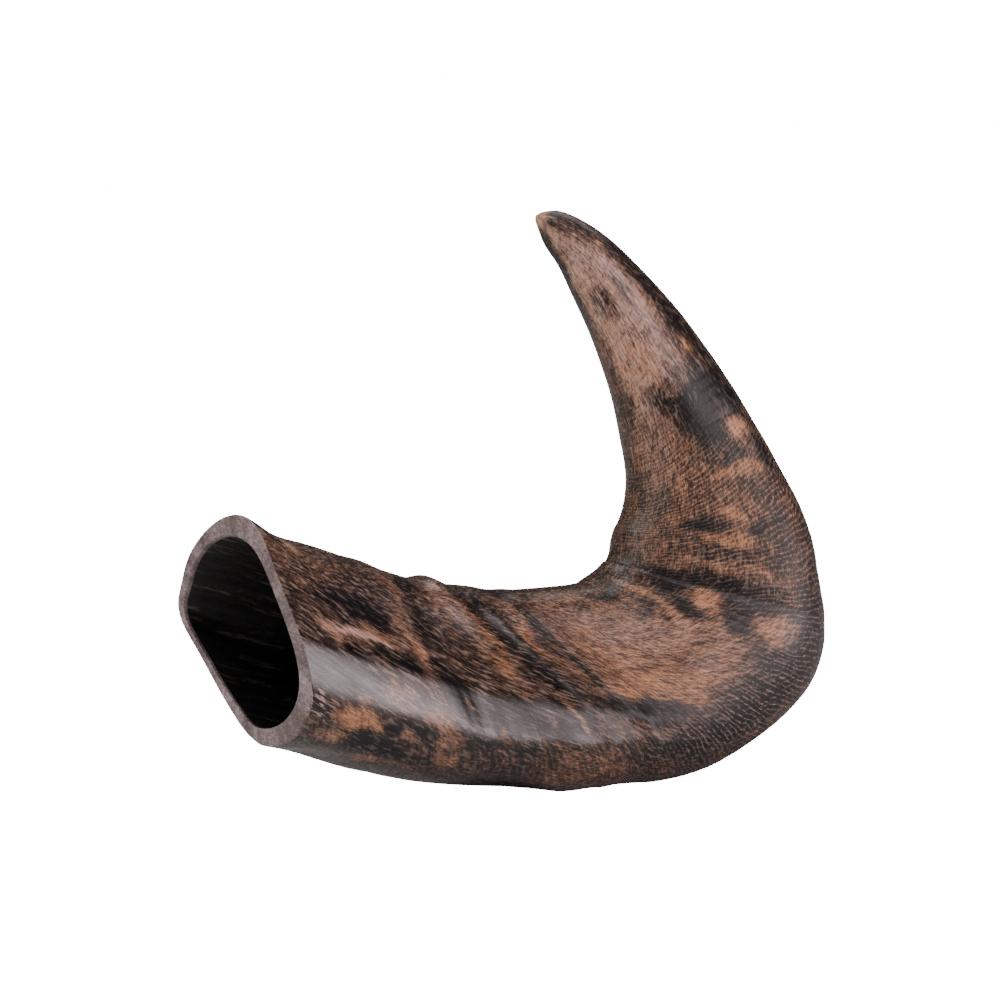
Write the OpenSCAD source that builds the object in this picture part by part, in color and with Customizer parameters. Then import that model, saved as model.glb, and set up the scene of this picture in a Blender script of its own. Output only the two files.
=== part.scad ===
// A polished buffalo horn: open sawn mouth, one strong bend, closed solid tip.
// The horn is a stack of nested growth cones. Each younger cone starts inside the
// older one and comes out below its edge, so every cone is its own closed solid.
// X runs from the mouth towards the bend, Y to the back and Z up. The horn stands on the
// flat of its belly at Z = 0, with the origin in the middle of that flat and the tip up.

/* [Mouth and cavity] */
// Inner size of the sawn mouth as a share of its outer size
mouth_share = 0.83; // [0.78:0.01:0.9]
// Height of the keel down the back of the mouth, mm
keel = 5; // [0:0.5:6]
// Station along the horn at which the cavity closes
cavity_end = 7.0; // [5.8:0.1:7.2]

/* [Belly] */
// Depth of the flat that is ground on the belly, mm
belly_flat = 0.5; // [0.2:0.1:1]

/* [Growth steps] */
// Step of the first ridge behind the mouth, mm
first_step = 0.9; // [0.3:0.1:1.5]
// Step of the deep groove, mm
groove_step = 1.6; // [0.5:0.1:2]
// Step of the shallow groove before the bend, mm
shallow_step = 0.8; // [0.3:0.1:1.2]
// Step of the polished, almost flush edges on the bend and arm, mm
flush_step = 0.4; // [0.2:0.1:0.6]

/* [Tip] */
// Length of the rounded end in stations
tip_round = 0.6; // [0.3:0.1:0.9]

/* [Mesh] */
// Points round the horn
around = 32; // [16:4:36]
// Rings per station along the outside
rings_per_station = 6; // [3:1:7]

/* [Hidden] */

// Centre of the horn's sections from mouth to tip, the four half widths of each
// section, the slant of its plane in degrees, how much the back thins towards the
// outer edge, how square the outer edge is, and how much the front fills out there:
// x, y, z, outer, inner, front, back, slant, thinning, squareness, bulge
STATIONS = [
    [-119, -78,  69, 38, 35, 31, 33, -26, 0.32, 2.3, 0.40],
    [ -88, -55,  54, 38, 34, 28, 28, -26, 0.30, 2.4, 0.60],
    [ -57, -32,  41, 39, 34, 26, 27, -26, 0.20, 2.6, 0.70],
    [ -22, -11,  35, 39, 35, 26, 28, -24, 0.10, 3.0, 0.70],
    [   9,   4,  38, 44, 36, 27, 29, -18, 0.10, 3.0, 0.65],
    [  27,  15,  54, 50, 37, 27, 28,  -6, 0.10, 2.8, 0.50],
    [  33,  20,  75, 40, 37, 26, 27,   8, 0.10, 2.5, 0.30],
    [  30,  21, 100, 27, 29, 22, 23,   4, 0.05, 2.3, 0.10],
    [  20,  20, 127, 20, 23, 18, 18,   2, 0.00, 2.2, 0.00],
    [   7,  18, 151, 16, 18, 14, 14,   0, 0.00, 2.1, 0.00],
    [  -7,  16, 172, 11, 13, 10, 10,   0, 0.00, 2.0, 0.00],
    [ -18,  14, 183,  8,  8,  6,  6,   0, 0.00, 2.0, 0.00],
    [ -28,  12, 190,  4,  3,  3,  3,   0, 0.00, 2.0, 0.00]
];
last = len(STATIONS) - 1;
// The hollow of the bend faces this point, so "outer" points away from it
FOCUS = [-40, -8, 130];
front_inner_square = 2.1;
back_inner_square = 1.8;
keel_side = 268;
keel_spread = 14;
keel_length = 3;
// Height kept under a hidden surface above the flat of the belly
seat_lift = 12;
// Typical half width that turns a step in mm into a share
typical_half = 35;

// Lower edges of the cones: station at the inner side, extra stations at the outer side
EDGE_MOUTH  = [0, 0];
EDGE_RIDGE  = [1.75, 0.50];
EDGE_GROOVE = [2.18, 0.62];
EDGE_BEND   = [2.68, 0.52];
EDGE_ARM    = [5.15, 0.30];
EDGE_TIP    = [7.60, 0.10];
EDGE_END    = [last, 0];
// Where each hidden cone closes, as a station
RIDGE_APEX = cavity_end + 0.5;
GROOVE_APEX = cavity_end + 1.0;
BEND_APEX = cavity_end + 1.7;
ARM_APEX = cavity_end + 2.8;
TIP_APEX = cavity_end + 4.0;
hidden_rings = 14;
cavity_rings = 30;
// A younger cone thins out quickly under the older one, and the cavity slowly
cone_fullness = 0.8;
cavity_fullness = 1.5;
groove_length = 0.35;

function unit(v) = v / norm(v);
function mix(a, b, t) = a + (b - a) * t;
function ease(t) = let (c = min(max(t, 0), 1)) c * c * (3 - 2 * c);

// Catmull-Rom curve through the stations
function station(i) =
    i < 0 ? 2 * STATIONS[0] - STATIONS[1] :
    i > last ? 2 * STATIONS[last] - STATIONS[last - 1] : STATIONS[i];
function blend(a, b, c, d, f) =
    0.5 * (2 * b + (c - a) * f + (2 * a - 5 * b + 4 * c - d) * f * f
        + (3 * b - a - 3 * c + d) * f * f * f);
function slope(a, b, c, d, f) =
    0.5 * ((c - a) + 2 * (2 * a - 5 * b + 4 * c - d) * f + 3 * (3 * b - a - 3 * c + d) * f * f);
function span(s) = min(max(floor(s), 0), last - 1);
function row(s) = let (i = span(s))
    blend(station(i - 1), station(i), station(i + 1), station(i + 2), s - i);
function row_slope(s) = let (i = span(s))
    slope(station(i - 1), station(i), station(i + 1), station(i + 2), s - i);
function head(v) = [v[0], v[1], v[2]];

// Half width and squareness of the section in the direction a
function squareness(r, a) =
    sin(a) >= 0 ? (cos(a) >= 0 ? r[9] : front_inner_square)
                : (cos(a) >= 0 ? max(1.9, r[9] - 0.4) : back_inner_square);
function rounded(a, e) = pow(pow(abs(cos(a)), e) + pow(abs(sin(a)), e), -1 / e);
function thinned(r, q) = 1 - r[8] * (q + q * q / 2);
function bulged(r, q) = 1 + r[10] * q * (1 - q * q);
function section(r, a) = let (
        k = rounded(a, squareness(r, a)),
        q = k * cos(a),
        x = q * (q >= 0 ? r[3] : r[4]),
        y = k * sin(a) * (sin(a) >= 0 ? r[5] * bulged(r, q) : r[6] * thinned(r, q))
    ) [x, y];

// The keel stands up in the direction keel_side and fades out over keel_length stations
function keeled(s, a) =
    1 + keel / typical_half * exp(-pow((a - keel_side) / keel_spread, 2)) * ease(1 - s / keel_length);

// The rounded end of the tip
function tip_share(s) = let (t = (s - last + tip_round) / tip_round)
    t <= 0 ? 1 : sqrt(max(0, 1 - t * t));

// Point of the horn at station s and direction a, at a share of its full half width
function place(s, a, share) = let (
        r = row(s),
        c = head(r),
        t0 = unit(head(row_slope(s))),
        out = c - FOCUS,
        u0 = unit(out - (out * t0) * t0),
        w = cross(u0, t0),
        t = t0 * cos(r[7]) + u0 * sin(r[7]),
        u = u0 * cos(r[7]) - t0 * sin(r[7]),
        v = section(r, a) * share * keeled(s, a) * tip_share(s),
        p = c + v[0] * u + v[1] * w
    ) [p[0], p[1], max(p[2] - belly_flat, seat_lift * (1 - share))];

// Growth lines slant across both flanks and lie nearer the tip on the outer side
function reach(a) = let (t = min(max((abs(180 - a) - 20) / 85, 0), 1)) (t + ease(t)) / 2;
function edge_at(edge, a) = edge[0] + edge[1] * reach(a);
function directions() = [for (j = [0 : around - 1]) 360 * j / around];
// A ring part of the way from one edge to another, or to a single station
function ring(from, to, t, share) =
    [for (a = directions()) place(mix(edge_at(from, a), edge_at(to, a), t), a, share)];

// Share at t along a hidden cone or the cavity, which closes in a blunt dome at its apex
function dome(t, fullness) = pow(max(0, 1 - pow(t, fullness)), 0.6);
// Rings lie closer together near both ends
function crowded(i, n) = (1 - cos(180 * i / n)) / 2;
function domed(edge, apex, share, fullness, n) =
    [for (i = [0 : n - 1]) let (t = crowded(i, n))
        ring(edge, [apex, 0], t, share * dome(t, fullness))];
function hidden(edge, apex, share) = domed(edge, apex, share, cone_fullness, hidden_rings);
function cavity() = domed(EDGE_MOUTH, cavity_end, mouth_share, cavity_fullness, cavity_rings);

// Outside of a cone between its own edge and the edge of the next older one,
// where it dips into the groove under that edge
function outside(from, to, dip) = let (
        length = to[0] - from[0],
        n = max(3, ceil(length * rings_per_station)),
        near = min(0.6, groove_length / length)
    ) [for (i = [0 : n - 1]) let (t = i / n)
        ring(from, to, t, 1 - dip * ease((t - 1 + near) / near))];

function reversed(list) = [for (i = [len(list) - 1 : -1 : 0]) list[i]];
function joined(lists) = [for (list = lists) each list];

// The two triangles of a quad, cut along its shorter diagonal so that the skins on both
// sides of a hidden surface meet face to face
function halves(points, a, b, c, d) =
    norm(points[a] - points[c]) < norm(points[b] - points[d])
        ? [[a, b, c], [a, c, d]] : [[a, b, d], [b, c, d]];

// Closed skin over a row of rings, with a single point at each end
module skin(start, rings, end) {
    n = around;
    m = len(rings);
    points = concat([start], joined(rings), [end]);
    function at(i, j) = 1 + i * n + j % n;
    faces = concat(
        [for (j = [0 : n - 1]) [0, at(0, j + 1), at(0, j)]],
        [for (i = [0 : m - 2], j = [0 : n - 1])
            each halves(points, at(i, j), at(i, j + 1), at(i + 1, j + 1), at(i + 1, j))],
        [for (j = [0 : n - 1]) [1 + m * n, at(m - 1, j), at(m - 1, j + 1)]]
    );
    polyhedron(points, faces);
}

function share_of(step) = step / typical_half;
function middle(s) = head(row(s));

// Youngest cone: the sawn mouth, the thin wall and the cavity
module mouth_cone() {
    dip = share_of(first_step);
    color("#4a3a34")
        skin(middle(cavity_end),
            concat(reversed(cavity()), outside(EDGE_MOUTH, EDGE_RIDGE, dip),
                hidden(EDGE_RIDGE, RIDGE_APEX, 1 - dip)),
            middle(RIDGE_APEX));
}

// An older cone: hollow below over the younger one, covered above by the next
module sheath(edge, apex, step_below, next_edge, next_apex, step_above) {
    skin(middle(apex),
        concat(reversed(hidden(edge, apex, 1 - share_of(step_below))),
            outside(edge, next_edge, share_of(step_above)),
            hidden(next_edge, next_apex, 1 - share_of(step_above))),
        middle(next_apex));
}

// Narrow band between the first ridge and the deep groove
module ridge_cone() {
    color("#6b4c3a")
        sheath(EDGE_RIDGE, RIDGE_APEX, first_step, EDGE_GROOVE, GROOVE_APEX, groove_step);
}

// Band between the deep groove and the shallow one
module groove_cone() {
    color("#7a5640")
        sheath(EDGE_GROOVE, GROOVE_APEX, groove_step, EDGE_BEND, BEND_APEX, shallow_step);
}

// The broad cone that makes the bend and carries the flat of the belly
module bend_cone() {
    color("#5e4436")
        sheath(EDGE_BEND, BEND_APEX, shallow_step, EDGE_ARM, ARM_APEX, flush_step);
}

// The lower arm
module arm_cone() {
    color("#6e4d3b")
        sheath(EDGE_ARM, ARM_APEX, flush_step, EDGE_TIP, TIP_APEX, flush_step);
}

// Oldest cone: the upper arm and the solid, rounded tip
module tip_cone() {
    color("#8a6350")
        skin(middle(TIP_APEX),
            concat(reversed(hidden(EDGE_TIP, TIP_APEX, 1 - share_of(flush_step))),
                outside(EDGE_TIP, EDGE_END, 0)),
            middle(last));
}

mouth_cone();
ridge_cone();
groove_cone();
bend_cone();
arm_cone();
tip_cone();
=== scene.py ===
"""The looks of a polished buffalo horn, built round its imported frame.

The horn is described by a station along its curve, 0 at the sawn mouth and 12 at the tip,
and a direction round it in degrees: 0 at the outer side of the bend, 90 at the front, 180
at the inner side and 270 at the back. Sizes are in mm and become metres in the meshes.
Each growth cone of the frame is replaced by a finely modelled one of the same shape.
"""

import math

import bpy
import numpy as np
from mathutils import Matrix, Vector


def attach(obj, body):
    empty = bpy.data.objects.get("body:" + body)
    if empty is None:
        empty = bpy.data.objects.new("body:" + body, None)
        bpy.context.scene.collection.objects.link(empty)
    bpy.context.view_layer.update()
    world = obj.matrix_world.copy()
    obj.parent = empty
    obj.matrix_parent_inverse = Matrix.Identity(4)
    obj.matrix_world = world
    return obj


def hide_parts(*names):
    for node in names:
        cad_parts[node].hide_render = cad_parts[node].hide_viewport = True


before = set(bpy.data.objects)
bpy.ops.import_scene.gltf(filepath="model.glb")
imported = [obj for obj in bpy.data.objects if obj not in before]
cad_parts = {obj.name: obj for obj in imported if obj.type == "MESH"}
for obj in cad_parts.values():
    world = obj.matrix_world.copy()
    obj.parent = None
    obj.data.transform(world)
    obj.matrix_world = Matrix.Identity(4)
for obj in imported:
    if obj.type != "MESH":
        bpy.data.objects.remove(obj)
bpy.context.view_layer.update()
BODY = "root"
MM = 0.001

# ---------------------------------------------------------------- shape of the horn

# Middle of the section, its four half widths, the slant of its plane in degrees, how much
# the back thins towards the outer edge, how square that edge is, and how far the front
# fills out:
# x, y, z, outer, inner, front, back, slant, thinning, squareness, bulge
STATIONS = np.array([
    [-119, -78, 69, 38, 35, 31, 33, -26, 0.32, 2.3, 0.40],
    [-88, -55, 54, 38, 34, 28, 28, -26, 0.30, 2.4, 0.60],
    [-57, -32, 41, 39, 34, 26, 27, -26, 0.20, 2.6, 0.70],
    [-22, -11, 35, 39, 35, 26, 28, -24, 0.10, 3.0, 0.70],
    [9, 4, 38, 44, 36, 27, 29, -18, 0.10, 3.0, 0.65],
    [27, 15, 54, 50, 37, 27, 28, -6, 0.10, 2.8, 0.50],
    [33, 20, 75, 40, 37, 26, 27, 8, 0.10, 2.5, 0.30],
    [30, 21, 100, 27, 29, 22, 23, 4, 0.05, 2.3, 0.10],
    [20, 20, 127, 20, 23, 18, 18, 2, 0.00, 2.2, 0.00],
    [7, 18, 151, 16, 18, 14, 14, 0, 0.00, 2.1, 0.00],
    [-7, 16, 172, 11, 13, 10, 10, 0, 0.00, 2.0, 0.00],
    [-18, 14, 183, 8, 8, 6, 6, 0, 0.00, 2.0, 0.00],
    [-28, 12, 190, 4, 3, 3, 3, 0, 0.00, 2.0, 0.00],
])
OUTER, INNER, FRONT, BACK, SLANT, THINNING, SQUARENESS, BULGE = range(3, 11)
LAST = len(STATIONS) - 1
# The outer side of each section faces away from this point
FOCUS = np.array([-40.0, -8.0, 130.0])
FRONT_INNER_SQUARE = 2.1
BACK_INNER_SQUARE = 1.8
# Keel down the back of the mouth
KEEL = 5.0
KEEL_SIDE = 268.0
KEEL_SPREAD = 14.0
KEEL_LENGTH = 3.0
TYPICAL_HALF = 35.0
BELLY_FLAT = 0.5
SEAT_LIFT = 12.0
TIP_ROUND = 0.6
# Inner size of the mouth as a share of the outer one, and the thinner wall at its back
MOUTH_SHARE = 0.83
THIN_GAIN = 0.075
THIN_SIDE = 272.0
THIN_SPREAD = 46.0
THIN_LENGTH = 0.5
# Station at which the cavity closes, and the length of a station in mm
CAVITY_END = 7.0
PITCH = 28.0

# Lower edge of each cone: station at the inner side, extra stations at the outer side
EDGES = {
    "mouth": (0.0, 0.0), "ridge": (1.75, 0.50), "groove": (2.18, 0.62), "bend": (2.68, 0.52),
    "arm": (5.15, 0.30), "tip": (7.60, 0.10), "end": (12.0, 0.0),
}
APEXES = {"ridge": 7.5, "groove": 8.0, "bend": 8.7, "arm": 9.8, "tip": 11.0}
# Height of the step at each lower edge, which wear has left almost flush
STEPS = {
    "mouth": 0.0, "ridge": 0.12, "groove": 0.15, "bend": 0.08, "arm": 0.06, "tip": 0.05,
    "end": 0.0,
}
# How far the lip above a step is rounded, and how far the groove below it reaches
LIP = 3.4
GROOVE = 6.5
# The steps are polished away towards the outer side, from the first angle to the second,
# down to a height of their own
POLISHED = (92, 70)
POLISHED_STEP = 0.05
# A growth line slants between two distances in degrees from the inner side
SLANT_START = 20
SLANT_LENGTH = 85

# Points round the horn, and the rings along it: their gap, and how far from the edge of a
# cone and from the end of the tip the closer ones lie, in growth lines
AROUND = 384
RING_GAP = 0.021
EDGE_RINGS = (0.003, 0.007, 0.012, 0.018, 0.026, 0.036)
TIP_RINGS = (0.005, 0.012, 0.025, 0.045, 0.07)
HIDDEN_RINGS = 12
CAVITY_RINGS = 70
# Half the turn in degrees over which a normal is measured, and the least share it is
# measured at
NORMAL_TURN = 0.4
NORMAL_SHARE = 0.05


def unit(v):
    return v / np.maximum(np.linalg.norm(v, axis=-1, keepdims=True), 1e-12)


def ease(t):
    t = np.clip(t, 0, 1)
    return t * t * (3 - 2 * t)


PADDED = np.vstack([2 * STATIONS[0] - STATIONS[1], STATIONS, 2 * STATIONS[-1] - STATIONS[-2]])


def spline(s):
    """Catmull-Rom row of the stations at s, and its slope."""
    s = np.asarray(s, float)
    i = np.clip(np.floor(s).astype(int), 0, LAST - 1)
    f = (s - i)[..., None]
    a, b, c, d = PADDED[i], PADDED[i + 1], PADDED[i + 2], PADDED[i + 3]
    two, three = 2 * a - 5 * b + 4 * c - d, 3 * b - a - 3 * c + d
    value = 0.5 * (2 * b + (c - a) * f + two * f * f + three * f**3)
    slope = 0.5 * ((c - a) + 2 * two * f + 3 * three * f * f)
    return value, slope[..., :3]


def section(row, a):
    """The section's two coordinates in the direction a, at its full size."""
    ca, sa = np.cos(np.radians(a)), np.sin(np.radians(a))
    square = row[..., SQUARENESS]
    front = np.where(ca >= 0, square, FRONT_INNER_SQUARE)
    back = np.where(ca >= 0, np.maximum(1.9, square - 0.4), BACK_INNER_SQUARE)
    e = np.where(sa >= 0, front, back)
    k = (np.abs(ca)**e + np.abs(sa)**e)**(-1 / e)
    q = k * ca
    x = q * np.where(q >= 0, row[..., OUTER], row[..., INNER])
    bulged = row[..., FRONT] * (1 + row[..., BULGE] * q * (1 - q * q))
    thinned = row[..., BACK] * (1 - row[..., THINNING] * (q + q * q / 2))
    return x, k * sa * np.where(sa >= 0, bulged, thinned)


def place(s, a, share=1.0):
    """Points of the horn, and the normals of the planes of their sections."""
    s, a, share = np.broadcast_arrays(np.asarray(s, float), np.asarray(a, float), share)
    row, slope = spline(s)
    centre = row[..., :3]
    t0 = unit(slope)
    out = centre - FOCUS
    u0 = unit(out - (out * t0).sum(-1, keepdims=True) * t0)
    w = np.cross(u0, t0)
    slant = np.radians(row[..., SLANT:SLANT + 1])
    t = t0 * np.cos(slant) + u0 * np.sin(slant)
    u = u0 * np.cos(slant) - t0 * np.sin(slant)
    x, y = section(row, a)
    keel = np.exp(-(((a % 360) - KEEL_SIDE) / KEEL_SPREAD)**2) * ease(1 - s / KEEL_LENGTH)
    end = np.clip((s - LAST + TIP_ROUND) / TIP_ROUND, 0, 1)
    size = share * (1 + KEEL / TYPICAL_HALF * keel) * np.sqrt(1 - end * end)
    p = centre + (size * x)[..., None] * u + (size * y)[..., None] * w
    p[..., 2] = np.maximum(p[..., 2] - BELLY_FLAT, SEAT_LIFT * (1 - share))
    return p, t


def raised(s, a, share, height):
    """Points moved out by height, square to the skin and within the section's own plane."""
    p, t = place(s, a, share)
    ahead, _ = place(s, a + NORMAL_TURN, np.maximum(share, NORMAL_SHARE))
    behind, _ = place(s, a - NORMAL_TURN, np.maximum(share, NORMAL_SHARE))
    n = unit(np.cross(ahead - behind, t))
    outward = p - spline(np.broadcast_to(s, p.shape[:-1]))[0][..., :3]
    n *= np.where((n * outward).sum(-1, keepdims=True) < 0, -1, 1)
    p = p + n * height[..., None]
    p[..., 2] = np.maximum(p[..., 2], 0)
    return p


def reach(a):
    """0 where a growth line starts at the inner side, 1 where it ends at the outer side."""
    t = np.clip((np.abs(180 - np.asarray(a) % 360) - SLANT_START) / SLANT_LENGTH, 0, 1)
    return (t + ease(t)) / 2


EDGE_START = [start for start, extra in EDGES.values()]
EDGE_EXTRA = [extra for start, extra in EDGES.values()]


def station_of(growth, a):
    """Station of a growth line, which is named by its own station at the inner side."""
    return growth + np.interp(growth, EDGE_START, EDGE_EXTRA) * reach(a)


# Length along the middle of the horn at each growth line
FINE = np.linspace(0, LAST, 601)
MIDDLE_GAPS = np.linalg.norm(np.diff(spline(FINE)[0][:, :3], axis=0), axis=1)
LENGTH = np.concatenate([[0], np.cumsum(MIDDLE_GAPS)])


def length_at(s):
    return np.interp(s, FINE, LENGTH)


# ---------------------------------------------------------------- relief of the skin

# Swellings and hollows: station, direction, half length, half width in degrees, height
SWELLS = (
    # Rim of the mouth
    (0.00, 208, 0.45, 30, -1.4), (0.00, 160, 0.16, 24, 2.4), (0.45, 163, 0.22, 20, -1.2),
    (0.00, 350, 0.40, 16, -1.0),
    # Underside of the bell and of the bend
    (0.40, 13, 0.32, 18, -2.4), (1.75, 14, 0.42, 20, -2.6), (2.18, 14, 0.30, 18, -2.4),
    (2.05, 34, 0.40, 14, -1.4), (3.85, 38, 0.45, 14, -0.7),
    # Knobs on the inner side of the bell
    (1.50, 165, 0.25, 18, -0.8), (2.05, 176, 0.17, 24, 2.0), (2.45, 176, 0.16, 20, 1.0),
    # Belly, inner corner of the bend, and arm
    (2.70, 28, 0.35, 16, 1.0), (4.55, 184, 0.45, 30, 2.2), (4.28, 186, 0.38, 26, 1.1),
    (5.70, 28, 0.65, 28, -1.2), (6.30, 190, 0.40, 24, -0.9), (7.30, 26, 0.90, 28, -0.8),
    (9.20, 26, 1.40, 30, -0.8), (9.20, 190, 0.80, 26, -0.7), (11.3, 190, 0.35, 28, 0.7),
    # Front of the bell and of the bend
    (1.10, 106, 0.10, 40, 0.25), (1.42, 78, 0.14, 15, 0.50), (1.78, 78, 0.12, 15, -0.50),
    (0.62, 78, 0.22, 12, 0.12), (3.35, 110, 0.30, 26, -0.35), (4.75, 112, 0.35, 22, 0.45),
    (5.35, 88, 0.16, 50, -0.30),
)
# Direction of the blunt crest that runs along the front of the bell
CREST = 61.0
# Upper edge of the polished face above the crest: stations, and directions
SHOULDER = ((0, 1.6, 2.2, 2.9, 3.5, 3.9), (89, 88, 86, 81, 73, 67))
# Relief across the crest: degrees from the crest, half width, height
CREST_RELIEF = ((0, 7, 0.70), (-11, 7, -0.40))
# Relief across the polished face: way from its upper edge to the crest, half width, height
FACE_RELIEF = ((0.0, 5, 0.38), (0.5, 6, -0.20))
# The crest loses a share of its height past a station, over a length, and ends before
# another one
CREST_LOSS, CREST_LOSS_START, CREST_LOSS_LENGTH = 0.6, 3.4, 0.8
CREST_END, CREST_END_LENGTH = 5.8, 1.2
# Bands that run along growth lines: growth line, half length, height
BANDS = (
    (0.30, 0.10, -0.12), (0.62, 0.12, 0.10), (1.16, 0.10, 0.22), (1.42, 0.10, -0.16),
    (1.97, 0.13, 0.85), (2.32, 0.08, 0.30), (2.86, 0.08, 0.25), (3.25, 0.14, -0.10),
    (4.95, 0.10, 0.16), (5.45, 0.12, -0.14), (6.40, 0.20, 0.08), (7.30, 0.16, -0.08),
)
# Waves of the hand-polished surface: quarter turns per mm along x, y and z, phase, height
WAVES = (
    ((0.060, 0.031, 0.045), 0.4, 0.10), ((-0.034, 0.082, 0.060), 2.1, 0.08),
    ((0.115, -0.058, 0.092), 4.0, 0.05), ((0.047, 0.140, -0.123), 1.3, 0.035),
    ((0.190, 0.094, 0.170), 5.2, 0.022), ((-0.230, 0.160, 0.120), 0.9, 0.018),
)
# Fine rings along the growth lines: height, and two wave lengths in mm
RIPPLE = 0.028
LONG_RIPPLE, SHORT_RIPPLE = 3.7, 1.9
# Stations over which the relief fades out before the tip
TIP_FADE = 0.5


def hump(x, middle, half_width):
    return np.exp(-((x - middle) / half_width)**2)


def crest_relief(s, a):
    """The crest along the front of the bell, and the polished face above it."""
    shoulder = np.interp(s, *SHOULDER)
    height = sum(top * hump(a, CREST + turn, half) for turn, half, top in CREST_RELIEF)
    height += sum(top * hump(a, shoulder + way * (CREST - shoulder), half)
                  for way, half, top in FACE_RELIEF)
    loss = CREST_LOSS * ease((s - CREST_LOSS_START) / CREST_LOSS_LENGTH)
    return height * (1 - loss) * ease((CREST_END - s) / CREST_END_LENGTH)


def ripples(growth, s, a):
    """Fine rings that come and go along the horn and die out in the upper arm."""
    z = length_at(growth)
    height = np.sin(2 * math.pi * z / LONG_RIPPLE + 1.3 * np.sin(z / 9))
    height += 0.6 * np.sin(2 * math.pi * z / SHORT_RIPPLE)
    height *= 0.5 + 0.5 * np.sin(z / 11 + np.radians(a) * 2)
    return RIPPLE * height * np.clip((10 - s) / 3, 0.15, 1)


def relief(growth, s, a):
    """Height of the skin over the plain shape, without the steps at the edges of the cones."""
    a = a % 360
    p = place(s, a)[0]
    height = np.zeros(s.shape)
    for station, direction, half_length, half_width, bump in SWELLS:
        turn = (a - direction + 180) % 360 - 180
        height += bump * np.exp(-((s - station) / half_length)**2 - (turn / half_width)**2)
    for line, half_length, bump in BANDS:
        height += bump * hump(growth, line, half_length)
    for steps, phase, wave in WAVES:
        height += wave * np.sin(math.pi / 2 * (p @ np.array(steps)) + phase)
    height += crest_relief(s, a) + ripples(growth, s, a)
    return height * ease((LAST - s) / TIP_FADE)


def lip(distance):
    """Share of a step that is still missing at a distance above its edge."""
    return 1 - ease(distance / LIP)


def step_at(name, a):
    """Height of the step at an edge, which the polish has taken down at the outer side."""
    side = 180 - np.abs(180 - a % 360)
    left = ease((side - POLISHED[1]) / (POLISHED[0] - POLISHED[1]))
    return STEPS[name] * left + min(STEPS[name], POLISHED_STEP) * (1 - left)


def outside_height(lower, upper, growth, s, a):
    """Relief of a cone's bare band, with the lip at its own edge and the groove at the next."""
    height = relief(growth, s, a)
    height -= step_at(lower, a) * lip((growth - EDGES[lower][0]) * PITCH)
    height -= step_at(upper, a) * (1 - ease((EDGES[upper][0] - growth) * PITCH / GROOVE))
    return height


# ---------------------------------------------------------------- paint of the skin

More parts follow.
